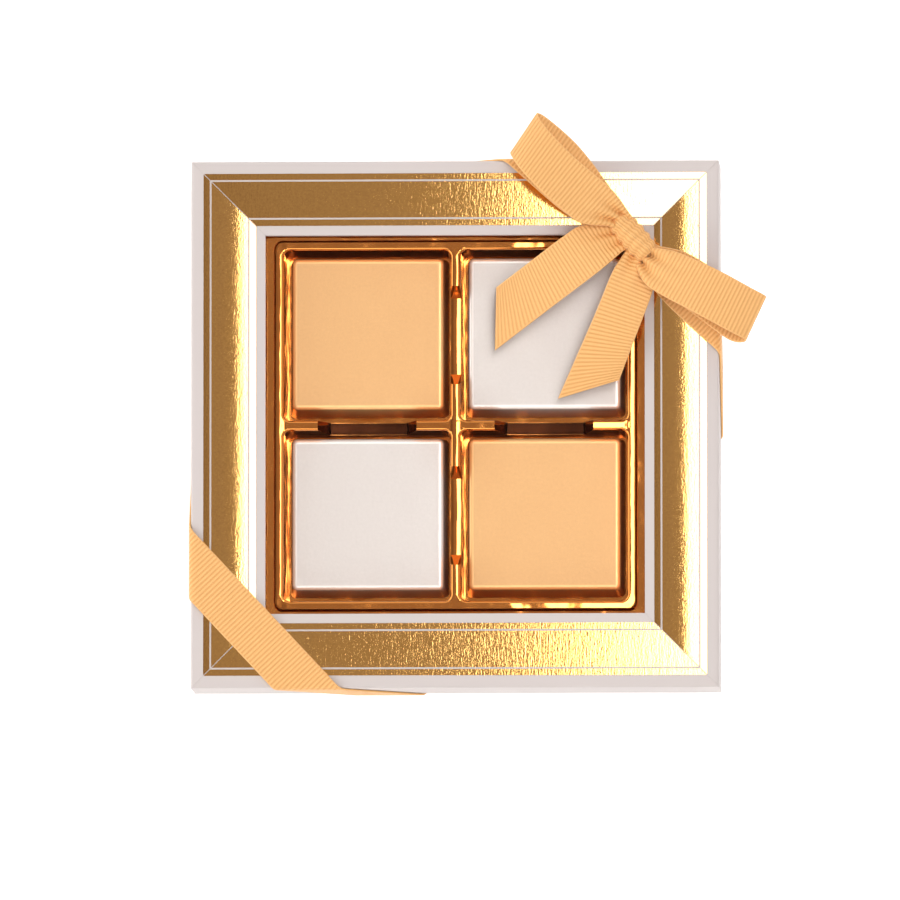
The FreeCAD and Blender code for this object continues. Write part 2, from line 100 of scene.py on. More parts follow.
class NodeSheet:
    """A material's node tree with short ways to add and join its nodes."""

    def __init__(self, name: str) -> None:
        """Makes a material with one principled shader.

        Args:
            name: the material's name.
        """
        self.material = bpy.data.materials.new(name)
        self.material.use_nodes = True
        self.tree = self.material.node_tree
        self.shader = next(n for n in self.tree.nodes if n.type == "BSDF_PRINCIPLED")

    def add(self, kind: str, **settings: object) -> bpy.types.Node:
        """Adds a node.

        Args:
            kind: the node's type name without its ShaderNode start.
            settings: its properties.

        Returns:
            The new node.
        """
        node = self.tree.nodes.new(f"ShaderNode{kind}")
        for name, value in settings.items():
            setattr(node, name, value)
        return node

    def join(self, source: Socket, node: bpy.types.Node, socket: str | int) -> None:
        """Joins an output to a node's input, by the input's name or number."""
        self.tree.links.new(source, node.inputs[socket])

    def set(self, **values: object) -> None:
        """Sets the shader's own sockets, named with underscores for spaces."""
        for name, value in values.items():
            self.shader.inputs[name.replace("_", " ")].default_value = value

    def place(self, scale: Iterable[float], uv: Weave | None = None) -> Socket:
        """A coordinate on the piece, times a scale on each axis.

        Args:
            scale: how many repeats there are in a metre, for each axis.
            uv: a UV map to read, or none for the object's own coordinates.

        Returns:
            The scaled coordinate.
        """
        if uv:
            source = self.add("UVMap", uv_map=uv.value).outputs["UV"]
        else:
            source = self.add("TexCoord").outputs["Object"]
        mapping = self.add("Mapping")
        mapping.inputs["Scale"].default_value = tuple(scale)
        self.join(source, mapping, "Vector")
        return mapping.outputs["Vector"]

    def noise(self, at: Socket, detail: float = 2.0, roughness: float = 0.5) -> Socket:
        """A cloudy value from 0 to 1 at a coordinate.

        Args:
            at: the coordinate.
            detail: octaves of finer clouds.
            roughness: the share of the finer clouds.

        Returns:
            The value.
        """
        node = self.add("TexNoise")
        node.inputs["Scale"].default_value = 1.0
        node.inputs["Detail"].default_value = detail
        node.inputs["Roughness"].default_value = roughness
        self.join(at, node, "Vector")
        return node.outputs["Fac"]

    def axes(self) -> list[Socket]:
        """The object's own coordinates, in metres.

        Returns:
            X, Y and Z.
        """
        split = self.add("SeparateXYZ")
        self.join(self.place((1.0, 1.0, 1.0)), split, 0)
        return list(split.outputs)

    def math(self, operation: str, a: Socket, b: Socket | float = 0.0) -> Socket:
        """Arithmetic on two values.

        Args:
            operation: the math node's operation.
            a: the first value.
            b: the second value, or a number.

        Returns:
            The result.
        """
        node = self.add("Math", operation=operation)
        self.join(a, node, 0)
        if isinstance(b, Socket):
            self.join(b, node, 1)
        else:
            node.inputs[1].default_value = b
        return node.outputs[0]

    def span(
        self, value: Socket, low: float, high: float, source: tuple[float, float] = (0.0, 1.0)
    ) -> Socket:
        """A value stretched from a source span to low and high, and held there.

        Args:
            value: the value to stretch.
            low: the result at the span's start.
            high: the result at the span's end.
            source: the span.

        Returns:
            The stretched value.
        """
        node = self.add("MapRange")
        self.join(value, node, "Value")
        node.inputs["From Min"].default_value, node.inputs["From Max"].default_value = source
        node.inputs["To Min"].default_value, node.inputs["To Max"].default_value = low, high
        return node.outputs["Result"]

    def tint(self, value: Socket, low: Colour, high: Colour) -> Socket:
        """A colour between two.

        Args:
            value: the place between them, from 0 to 1.
            low: the colour at 0.
            high: the colour at 1.

        Returns:
            The colour.
        """
        node = self.add("Mix", data_type="RGBA")
        self.join(value, node, 0)
        node.inputs[MIX_LOW].default_value = (*low, 1.0)
        node.inputs[MIX_HIGH].default_value = (*high, 1.0)
        return node.outputs[MIX_RESULT]

    def bump(
        self, height: Socket, depth: float, after: Socket | None = None, share: Socket | None = None
    ) -> Socket:
        """A normal roughened by a height.

        Args:
            height: the height's value from 0 to 1.
            depth: the real height that a value of 1 stands for.
            after: a normal that this one adds to.
            share: how much of it holds, from 0 to 1, or none for all of it.

        Returns:
            The normal.
        """
        node = self.add("Bump")
        node.inputs["Distance"].default_value = depth
        self.join(height, node, "Height")
        if after:
            self.join(after, node, "Normal")
        if share:
            self.join(share, node, "Strength")
        return node.outputs["Normal"]

    def finish(self, **sockets: Socket) -> bpy.types.Material:
        """Joins the shader's varying sockets.

        Args:
            sockets: a source for each socket, named with underscores for spaces.

        Returns:
            The finished material.
        """
        for name, source in sockets.items():
            self.join(source, self.shader, name.replace("_", " "))
        return self.material


def scaled(colour: Colour, share: float) -> Colour:
    """The colour made darker or lighter by a share."""
    return tuple(min(1.0, c * share) for c in colour)


def place_in_scene(name: str, mesh: bpy.types.Mesh) -> bpy.types.Object:
    """Puts a mesh in the scene.

    Args:
        name: the piece's name.
        mesh: its mesh.

    Returns:
        The piece, active and the only one selected.
    """
    piece = bpy.data.objects.new(name, mesh)
    bpy.context.scene.collection.objects.link(piece)
    bpy.ops.object.select_all(action="DESELECT")
    piece.select_set(True)
    bpy.context.view_layer.objects.active = piece
    return piece


@dataclass(frozen=True)
class BoardFinish:
    """Smooth coated board, with a faint fibre in its surface."""

    colour: Colour = (0.536, 0.494, 0.487)
    roughness: float = 0.5
    fibres_per_metre: float = 1400.0
    fibre_depth: float = 4e-6
    fibre_detail: float = 4.0
    clouds_per_metre: float = 30.0
    tint_shares: tuple[float, float] = (0.97, 1.03)

    def build(self, name: str) -> bpy.types.Material:
        """Makes the board's material.

        Args:
            name: the material's name.

        Returns:
            The material.
        """
        sheet = NodeSheet(name)
        fibre = sheet.noise(sheet.place([self.fibres_per_metre] * 3), self.fibre_detail)
        cloud = sheet.noise(sheet.place([self.clouds_per_metre] * 3))
        sheet.set(Roughness=self.roughness)
        return sheet.finish(
            Base_Color=sheet.tint(cloud, *(scaled(self.colour, share) for share in self.tint_shares)),
            Normal=sheet.bump(fibre, self.fibre_depth),
        )


@dataclass(frozen=True)
class FoilFinish:
    """Hot-stamped gold foil with a streaked grain along Y, on board that is a little bowed along X."""

    colour: Colour = (0.93, 0.53, 0.175)
    roughness: tuple[float, float] = (0.045, 0.125)
    tint_shares: tuple[float, float] = (0.8, 1.16)
    streaks_per_metre: tuple[float, float, float] = (2300.0, 380.0, 380.0)
    streak_detail: tuple[float, float] = (3.0, 0.6)
    streak_depth: float = 1.0e-5
    grains_per_metre: float = 2200.0
    grain_depth: float = 1.3e-5
    bow_per_metre: float = 0.0

    def bowed(self, sheet: NodeSheet) -> Socket:
        """The normal of board that falls away to both ends.

        Args:
            sheet: the material's nodes.

        Returns:
            The normal.
        """
        x = sheet.axes()[0]
        square = sheet.math("MULTIPLY", x, x)
        return sheet.bump(sheet.math("MULTIPLY", square, -self.bow_per_metre / 2), 1.0)

    def build(self, name: str) -> bpy.types.Material:
        """Makes the foil's material.

        Args:
            name: the material's name.

        Returns:
            The material.
        """
        sheet = NodeSheet(name)
        streak = sheet.noise(sheet.place(self.streaks_per_metre), *self.streak_detail)
        grain = sheet.noise(sheet.place([self.grains_per_metre] * 3))
        sheet.set(Metallic=1.0)
        under = self.bowed(sheet) if self.bow_per_metre else None
        coarse = sheet.bump(streak, self.streak_depth, under)
        return sheet.finish(
            Base_Color=sheet.tint(grain, *(scaled(self.colour, share) for share in self.tint_shares)),
            Roughness=sheet.span(grain, *self.roughness),
            Normal=sheet.bump(grain, self.grain_depth, coarse),
        )


@dataclass(frozen=True)
class TrayFinish:
    """Metallised gold sheet, a little wavy and bowed, rounded on its dividers and rim, with painted shade,
    near black and rougher, on the floors of its scoops.
    """

    colour: Colour = (0.92, 0.36, 0.085)
    # Painted shade on the scoop floors: a near-black colour and a rougher finish, below the heights given
    # here.
    scoop_shade: Colour = (0.05, 0.015, 0.006)
    roughness: float = 0.08
    scoop_shade_roughness: float = 0.35
    scoop_shade_heights: tuple[float, float] = (10.5 * MM, 13.0 * MM)
    waves_per_metre: float = 120.0
    wave_detail: float = 1.5
    wave_depth: float = 3.0e-4
    divider: float = 1.2 * MM
    divider_end: float = 41.0 * MM
    scoop_side: tuple[float, float] = (1.32 * MM, 1.56 * MM)
    scoop_end: float = 35.0 * MM
    crown_per_metre: float = 85.0
    bead: tuple[float, float] = (42.8 * MM, 43.8 * MM)
    bow_per_metre: float = 1.7
    bow_depths: tuple[float, float] = (1.2 * MM, 0.9 * MM)

    def crown(self, sheet: NodeSheet, aside: Socket, along: Socket) -> Socket:
        """How far the sheet stands up towards the middle of a divider or of the rim's bead.

        Args:
            sheet: the material's nodes.
            aside: the distance from the middle line.
            along: the distance along that line from the middle of the tray.

        Returns:
            The rise, which is nothing past the edge and fades out at the end.
        """
        square = sheet.math("MULTIPLY", aside, aside)
        square = sheet.math("MINIMUM", sheet.math("SUBTRACT", square, self.divider**2), 0.0)
        end = (self.divider_end, self.divider_end + self.divider)
        fade = sheet.span(along, -self.crown_per_metre, 0.0, end)
        return sheet.math("MULTIPLY", square, fade)

    def build(self, name: str, top: float) -> bpy.types.Material:
        """Makes the tray's material.

        Args:
            name: the material's name.
            top: the height of the rim.

        Returns:
            The material.
        """
        sheet = NodeSheet(name)
        across, along, up = sheet.axes()
        x, y = (sheet.math("ABSOLUTE", place) for place in (across, along))
        rise = sheet.math("ADD", self.crown(sheet, x, y), self.crown(sheet, y, x))
        for aside, other, middle in ((x, y, self.bead[0]), (y, x, self.bead[1])):
            rise = sheet.math("ADD", rise, self.crown(sheet, sheet.math("SUBTRACT", aside, middle), other))
        right = sheet.math("MAXIMUM", across, 0.0)
        bow = sheet.math("MULTIPLY", sheet.math("MULTIPLY", right, right), -self.bow_per_metre / 2)
        raised = sheet.span(up, 0.0, 1.0, tuple(top - depth for depth in self.bow_depths))
        under = sheet.bump(bow, 1.0, sheet.bump(rise, 1.0), raised)
        off_divider = sheet.span(y, 0.0, 1.0, self.scoop_side)
        off_scoop = sheet.span(x, 0.0, 1.0, (self.scoop_end, self.scoop_end + self.divider))
        # Painted shade mask: 0 on the scoop floors below the given heights, 1 elsewhere on the tray.
        height = sheet.span(up, 0.0, 1.0, self.scoop_shade_heights)
        height = sheet.math("MAXIMUM", height, sheet.math("MAXIMUM", off_divider, off_scoop))
        wave = sheet.noise(sheet.place([self.waves_per_metre] * 3), self.wave_detail)
        sheet.set(Metallic=1.0)
        return sheet.finish(
            Base_Color=sheet.tint(height, self.scoop_shade, self.colour),
            Roughness=sheet.span(height, self.scoop_shade_roughness, self.roughness),
            Normal=sheet.bump(wave, self.wave_depth, under),
        )


@dataclass(frozen=True)
class WrapperFinish:
    """Satin foil drawn tight over a chocolate, faintly creased and rolled over its edges, with a painted
    highlight along the top edges.
    """

    colour: Colour
    metal: float = 0.45
    roughness: float = 0.34
    creases_per_metre: float = 130.0
    crease_detail: tuple[float, float] = (3.0, 0.55)
    crease_depth: float = 5e-5
    grains_per_metre: float = 1500.0
    grain_depth: float = 1.6e-5
    grain_share: float = 0.2
    low_tint_share: float = 0.95
    roll: float = 1.2 * MM
    roll_per_metre: float = 80.0
    # Painted highlight: the colour brightened by this share along the top edges, between these insets.
    highlight_brightness: float = 1.6
    highlight_start: tuple[float, float] = (1.3 * MM, 0.95 * MM)
    highlight_end: tuple[float, float] = (0.25 * MM, 0.0)

    def outward(self, sheet: NodeSheet, place: Socket, middles: tuple[float, float]) -> Socket:
        """How far a place lies from the middle of its row of chocolates.

        Args:
            sheet: the material's nodes.
            place: the place along one axis.
            middles: the middles of the two rows on that axis.

        Returns:
            The distance.
        """
        between, apart = sum(middles) / 2, abs(middles[1] - middles[0]) / 2
        aside = sheet.math("ABSOLUTE", sheet.math("SUBTRACT", place, between))
        return sheet.math("ABSOLUTE", sheet.math("SUBTRACT", aside, apart))

    def rolled(self, sheet: NodeSheet, out: Socket, half: float) -> Socket:
        """How far the foil falls away at two opposite edges of the chocolates.

        Args:
            sheet: the material's nodes.
            out: the distance from the middle of the row.
            half: half the width of a chocolate's top.

        Returns:
            The drop, which is nothing away from the edges.
        """
        past = sheet.math("MAXIMUM", sheet.math("SUBTRACT", out, half - self.roll), 0.0)
        return sheet.math("MULTIPLY", sheet.math("MULTIPLY", past, past), -self.roll_per_metre)

    def painted_edge_highlight(self, sheet: NodeSheet, out: Socket, half: float) -> Socket:
        """How far the foil gets a painted highlight, a paler tint, along the top edge, from 0 to 1.

        Args:
            sheet: the material's nodes.
            out: the distance from the middle of the chocolate.
            half: half the width of a chocolate's top.

        Returns:
            The share.
        """
        start = sheet.span(out, 0.0, 1.0, tuple(half - inset for inset in self.highlight_start))
        end = sheet.span(out, 1.0, 0.0, tuple(half - inset for inset in self.highlight_end))
        return sheet.math("MULTIPLY", start, end)

    def build(self, name: str, rows: tuple[Vector, Vector], half: float) -> bpy.types.Material:
        """Makes the wrapper's material.

        Args:
            name: the material's name.
            rows: the middles of the lower left and the upper right chocolate.
            half: half the width of a chocolate's top.

        Returns:
            The material.
        """
        sheet = NodeSheet(name)
        places = sheet.axes()
        outs = [self.outward(sheet, places[i], (rows[0][i], rows[1][i])) for i in range(2)]
        drops = [self.rolled(sheet, out, half) for out in outs]
        # Painted highlight along the top edges of each chocolate.
        edge_highlight = self.painted_edge_highlight(sheet, sheet.math("MAXIMUM", *outs), half)
        crease = sheet.noise(sheet.place([self.creases_per_metre] * 3), *self.crease_detail)
        grain = sheet.noise(sheet.place([self.grains_per_metre] * 3))
        sheet.set(Metallic=self.metal, Roughness=self.roughness)
        under = sheet.bump(crease, self.crease_depth, sheet.bump(sheet.math("ADD", *drops), 1.0))
        # Random grain tone plus the painted highlight, both mixed towards the brightened colour.
        grain_and_highlight = sheet.math("MAXIMUM", sheet.span(grain, 0.0, self.grain_share), edge_highlight)
        dull, highlight_colour = (scaled(self.colour, share) for share in (self.low_tint_share, self.highlight_brightness))
        return sheet.finish(
            Base_Color=sheet.tint(grain_and_highlight, dull, highlight_colour),
            Normal=sheet.bump(grain, self.grain_depth, under),
        )


@dataclass(frozen=True)
class ChocolateFinish:
    """Moulded chocolate with a soft sheen."""

    colour: Colour = (0.06, 0.022, 0.01)
    tint_shares: tuple[float, float] = (0.8, 1.2)
    roughness: tuple[float, float] = (0.35, 0.5)
    clouds_per_metre: float = 220.0
    cloud_detail: float = 3.0

    def build(self, name: str) -> bpy.types.Material:
        """Makes the chocolate's material.

        Args:
            name: the material's name.

        Returns:
            The material.
        """
        sheet = NodeSheet(name)
        cloud = sheet.noise(sheet.place([self.clouds_per_metre] * 3), self.cloud_detail)
        return sheet.finish(
            Base_Color=sheet.tint(cloud, *(scaled(self.colour, share) for share in self.tint_shares)),
            Roughness=sheet.span(cloud, *self.roughness),
        )


@dataclass(frozen=True)
class FilmFinish:
    """Clear window film: only its faint gloss shows."""

    colour: Colour = (0.02, 0.02, 0.02)
    cover: float = 0.03
    roughness: float = 0.06
    ripples_per_metre: float = 25.0
    ripple_detail: float = 1.0
    ripple_depth: float = 1e-4

    def build(self, name: str) -> bpy.types.Material:
        """Makes the film's material.

        Args:
            name: the material's name.

        Returns:
            The material.
        """
        sheet = NodeSheet(name)
        ripple = sheet.noise(sheet.place([self.ripples_per_metre] * 3), self.ripple_detail)
        sheet.set(Base_Color=(*self.colour, 1.0), Roughness=self.roughness, Alpha=self.cover)
        return sheet.finish(Normal=sheet.bump(ripple, self.ripple_depth))


@dataclass(frozen=True)
class GrosgrainFinish:
    """Grosgrain ribbon: ribs across its width, with painted shade in their valleys, and a firm selvedge along
    each edge.
    """

    colour: Colour = (0.83, 0.465, 0.172)
    # Painted shade: the darker colour of the valleys between the ribs.
    valley_shade: Colour = (0.68, 0.335, 0.1)
    rib_pitch: float = 0.95 * MM
    rib_depth: float = 1.4e-4
    threads_per_metre: float = 5200.0
    thread_depth: float = 1.4e-5
    selvedge: float = 0.45 * MM
    width: float = 12.0 * MM
    rib_fullness: float = 0.7
    roughness: float = 0.62
    sheen: float = 0.12
    sheen_roughness: float = 0.4

    def build(self, name: str) -> bpy.types.Material:
        """Makes the ribbon's material.

        Args:
            name: the material's name.

        Returns:
            The material.
        """
        sheet = NodeSheet(name)
        measure = sheet.place((1.0, 1.0, 1.0), Weave.UV)
        split = sheet.add("SeparateXYZ")
        sheet.join(measure, split, 0)
        turn = sheet.math("MULTIPLY", split.outputs["X"], math.tau / self.rib_pitch)
        rib = sheet.math("MULTIPLY_ADD", sheet.math("SINE", turn), 0.5)
        rib.node.inputs[2].default_value = 0.5
        across = sheet.math("ABSOLUTE", split.outputs["Y"])
        border = self.width / 2 - self.selvedge
        edge = sheet.span(across, 0.0, 1.0, (border, border + self.selvedge / 2))
        # The ribs' height, which also darkens the valleys with painted shade; the selvedge stays at full
        # colour.
        crest = sheet.math("MAXIMUM", sheet.math("POWER", rib, self.rib_fullness), edge)
        thread = sheet.noise(sheet.place([self.threads_per_metre] * 3, Weave.UV))
        sheet.set(Roughness=self.roughness, Sheen_Weight=self.sheen, Sheen_Roughness=self.sheen_roughness)
        return sheet.finish(
            Base_Color=sheet.tint(crest, self.valley_shade, self.colour),
            Normal=sheet.bump(thread, self.thread_depth, sheet.bump(crest, self.rib_depth)),
        )


@dataclass(frozen=True)
class FloorFinish:
    """Plain pale studio floor, lit from below."""

    colour: Colour = (0.93, 0.925, 0.925)
    glow: float = 0.4
    roughness: float = 0.6
    clouds_per_metre: float = 3.0
    low_tint_share: float = 0.99

    def build(self, name: str) -> bpy.types.Material:
        """Makes the floor's material.

        Args:
            name: the material's name.

        Returns:
            The material.
        """
        sheet = NodeSheet(name)
        cloud = sheet.noise(sheet.place([self.clouds_per_metre] * 3))
        sheet.set(
            Roughness=self.roughness, Emission_Color=(1.0, 1.0, 1.0, 1.0), Emission_Strength=self.glow
        )
        shaded = scaled(self.colour, self.low_tint_share)
        return sheet.finish(Base_Color=sheet.tint(cloud, shaded, self.colour))


def dress(nodes: Iterable[str], material: bpy.types.Material) -> None:
    """Gives CAD nodes a material.

    Args:
        nodes: the nodes' names.
        material: the finish.
    """
    for name in nodes:
        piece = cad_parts[name]
        piece.data.materials.clear()
        piece.data.materials.append(material)
        LOG.info("dressed %s", name)


@dataclass
class LidRail:
    """A rail of the lid, drawn up to its neighbours at the mitres as glued board is."""

    side: Side
    seam: float = 0.02 * MM
    mitre_reach: float = 0.2 * MM
    weld: float = 0.001 * MM
    fold_angle: float = 30.0

    def build(self, finish: bpy.types.Material) -> bpy.types.Object:
        """Makes the rail from its CAD node's shape.

        Args:
            finish: the board's material.

        Returns:
            The piece, in place of its CAD node.
        """
        node = f"frame_rail_{self.side.value}"
        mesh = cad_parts[node].data.copy()
        if mesh.has_custom_normals:
            mesh.attributes.remove(mesh.attributes["custom_normal"])
        work = bmesh.new()
        work.from_mesh(mesh)
        bmesh.ops.remove_doubles(work, verts=work.verts, dist=self.weld)
        for point in work.verts:
            short, long = sorted((0, 1), key=lambda axis: abs(point.co[axis]))
            level = abs(point.co[long])
            if level - abs(point.co[short]) < self.mitre_reach:
                point.co[short] = math.copysign(level - self.seam, point.co[short])
        work.to_mesh(mesh)
        work.free()
        piece = place_in_scene(f"{node}_board", mesh)
        bpy.ops.object.shade_smooth_by_angle(angle=math.radians(self.fold_angle))
        mesh.materials.clear()
        mesh.materials.append(finish)
        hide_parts(node)
        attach(piece, "lid")
        LOG.info("drew up %s", node)
        return piece


@dataclass
class Packing:
    """The rigid pieces, whose CAD shapes are right: base, lid, tray and chocolates."""

    board: BoardFinish = BoardFinish()
    stays: BoardFinish = BoardFinish(colour=(0.74, 0.72, 0.69), roughness=0.7)
    foil: FoilFinish = FoilFinish()
    top_foil: FoilFinish = FoilFinish(bow_per_metre=1.4, streak_depth=1.7e-5)
    bottom_foil: FoilFinish = FoilFinish(bow_per_metre=0.8, streak_depth=2.2e-5)
    film: FilmFinish = FilmFinish()
    tray: TrayFinish = TrayFinish()
    chocolate: ChocolateFinish = ChocolateFinish()
    orange: WrapperFinish = WrapperFinish(colour=(0.62, 0.36, 0.155))
    silver: WrapperFinish = WrapperFinish(colour=(0.565, 0.53, 0.51))
    wrapper_draft: float = 0.9 * MM
    orange_wells: tuple[Corner, ...] = (Corner.TOP_LEFT, Corner.BOTTOM_RIGHT)

    def build(self) -> None:
        """Dresses every rigid node."""
        lid_board = self.board.build("lid_board")
        for side in Side:
            LidRail(side).build(lid_board)
        dress(["base_box"], self.board.build("base_board"))
        dress(["corner_stays"], self.stays.build("stay_paper"))
        dress([f"foil_bands_{side.value}" for side in (Side.LEFT, Side.RIGHT)], self.foil.build("gold_foil"))
        dress([f"foil_bands_{Side.TOP.value}"], self.top_foil.build("gold_foil_top"))
        dress([f"foil_bands_{Side.BOTTOM.value}"], self.bottom_foil.build("gold_foil_bottom"))
        dress(["window_film"], self.film.build("clear_film"))
        dress(["insert_tray"], self.tray.build("tray_gold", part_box("insert_tray")[1].z))
        dress([f"chocolate_{corner.value}" for corner in Corner], self.chocolate.build("chocolate"))
        boxes = [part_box(f"wrapper_{corner.value}") for corner in (Corner.BOTTOM_LEFT, Corner.TOP_RIGHT)]
        rows = tuple((low + high) / 2 for low, high in boxes)
        half = (boxes[0][1].x - boxes[0][0].x) / 2 - self.wrapper_draft
        orange = self.orange.build("wrapper_orange", rows, half)
        silver = self.silver.build("wrapper_silver", rows, half)
        for corner in Corner:
            dress([f"wrapper_{corner.value}"], orange if corner in self.orange_wells else silver)


@dataclass(frozen=True)
class Station:
    """A place along a ribbon's middle line, from the knot, in millimetres and degrees.

    along, aside and lift are measured out from the knot, to the left of that and up.
    roll turns the ribbon about its own line, skew turns it in plan, spread is the share of
    its width that shows and pleat is the height of its gathers.
    """

    along: float
    aside: float
    lift: float
    roll: float = 0.0
    skew: float = 0.0
    spread: float = 1.0
    pleat: float = 0.0

    @classmethod
    def mixed(cls, others: Iterable["Station"], weights: Iterable[float]) -> "Station":
        """The weighted sum of some stations.

        Args:
            others: the stations.
            weights: a weight for each.

        Returns:
            The sum, field by field.
        """
        pairs = list(zip(others, weights))
        names = cls.__dataclass_fields__
        return cls(**{name: sum(getattr(s, name) * w for s, w in pairs) for name in names})


@dataclass
class RibbonStock:
    """Ribbon as it is cut: its width, thickness and the fineness of its mesh."""

    width: float = 12.0 * MM
    thickness: float = 0.4 * MM
    row_step: float = 0.5 * MM
    columns: int = 24

    def across(self) -> list[float]:
        """Places across the width, from one edge to the other."""
        return [self.width * (i / self.columns - 0.5) for i in range(self.columns + 1)]

    def lay(self, name: str, rows: list[list[Vector]], lengths: list[float]) -> bpy.types.Object:
        """Makes a ribbon piece from rows of points across it.

        Args:
            name: the piece's name.
            rows: the points of each row, edge to edge.
            lengths: the length along the ribbon at each row.

        Returns:
            The piece, with its thickness and its own measure as a UV map.
        """
        mesh = bpy.data.meshes.new(name)
        work = bmesh.new()
        uv = work.loops.layers.uv.new(Weave.UV.value)
        grid = [[work.verts.new(p) for p in row] for row in rows]
        spots = self.across()
        for r in range(len(rows) - 1):
            for c in range(self.columns):
                corners = ((r, c), (r, c + 1), (r + 1, c + 1), (r + 1, c))
                face = work.faces.new([grid[i][j] for i, j in corners])
                face.smooth = True
                for loop, (i, j) in zip(face.loops, corners):
                    loop[uv].uv = (lengths[i], spots[j])
        work.to_mesh(mesh)
        work.free()
        piece = place_in_scene(name, mesh)
        solid = piece.modifiers.new("thickness", "SOLIDIFY")
        solid.thickness = self.thickness
        solid.offset = 0.0
        bpy.ops.object.modifier_apply(modifier=solid.name)
        LOG.info("laid %s", name)
        return piece

    def fasten(
        self,
        piece: bpy.types.Object,
        node: str,
        finish: bpy.types.Material,
        length: float,
        held: str,
        rests_on: list[str],
    ) -> None:
        """Puts a ribbon piece in place of its CAD node, on the lid.

        Args:
            piece: the piece.
            node: the CAD node that it stands for.
            finish: the ribbon's material.
            length: its length when it lies flat; not used.
            held: what holds its shape; not used.
            rests_on: the names of the pieces that carry it; not used.
        """
        piece.data.materials.append(finish)
        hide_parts(node)
        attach(piece, "lid")


@dataclass
class BowPiece:
    """A loop or a tail of the bow: ribbon drawn through stations out from the knot."""

    node: str
    angle: float
    stations: list[Station]
    cut: float = 0.0
    pleats: float = 2.5
    stock: RibbonStock = field(default_factory=RibbonStock)

    def spline(self) -> list[Station]:
        """Draws a smooth line through the stations.

        Returns:
            Stations along it, about a row's step apart.
        """
        last = self.stations[-1]
        ends = [self.stations[0], *self.stations, last]
        fine: list[Station] = []
        for a, b, c, d in zip(ends, ends[1:], ends[2:], ends[3:]):
            apart = math.dist((b.along, b.aside, b.lift), (c.along, c.aside, c.lift)) * MM
            steps = max(2, round(apart / self.stock.row_step))
            for step in range(steps):
                t = step / steps
                weights = (
                    (-t + 2 * t**2 - t**3) / 2,
                    (2 - 5 * t**2 + 3 * t**3) / 2,
                    (t + 4 * t**2 - 3 * t**3) / 2,
                    (t**3 - t**2) / 2,
                )
                fine.append(Station.mixed((a, b, c, d), weights))
        return [*fine, last]

    def build(self, knot: Vector, finish: bpy.types.Material) -> bpy.types.Object:
        """Makes the piece.

        Args:
            knot: the knot's middle.
            finish: the ribbon's material.

        Returns:
            The piece, in place of its CAD node.
        """
        turn = Matrix.Rotation(math.radians(self.angle), 3, "Z")
        stations = self.spline()
        middles = [knot + turn @ Vector((s.along, s.aside, s.lift)) * MM for s in stations]
        spots = self.stock.across()
        lengths, rows = [0.0], []
        for before, after in zip(middles, middles[1:]):
            lengths.append(lengths[-1] + (after - before).length)
        for i, station in enumerate(stations):
            ahead = (middles[min(i + 1, len(middles) - 1)] - middles[max(i - 1, 0)]).normalized()
            side = turn @ Matrix.Rotation(math.radians(station.skew), 3, "Z") @ Vector((0, 1, 0))
            side = Matrix.Rotation(math.radians(station.roll), 3, turn @ Vector((1, 0, 0))) @ side
            up = ahead.cross(side).normalized()
            share = lengths[i] / lengths[-1]
            row = []
            for spot in spots:
                wave = math.cos(math.tau * self.pleats * spot / self.stock.width) * station.pleat * MM
                slide = self.cut * spot
                row.append(middles[i] + side * spot * station.spread + up * wave + ahead * slide * share**3)
            rows.append(row)
        piece = self.stock.lay(f"{self.node}_ribbon", rows, lengths)
        self.stock.fasten(piece, self.node, finish, lengths[-1], "gathered", ["bow_knot_ribbon"])
        return piece


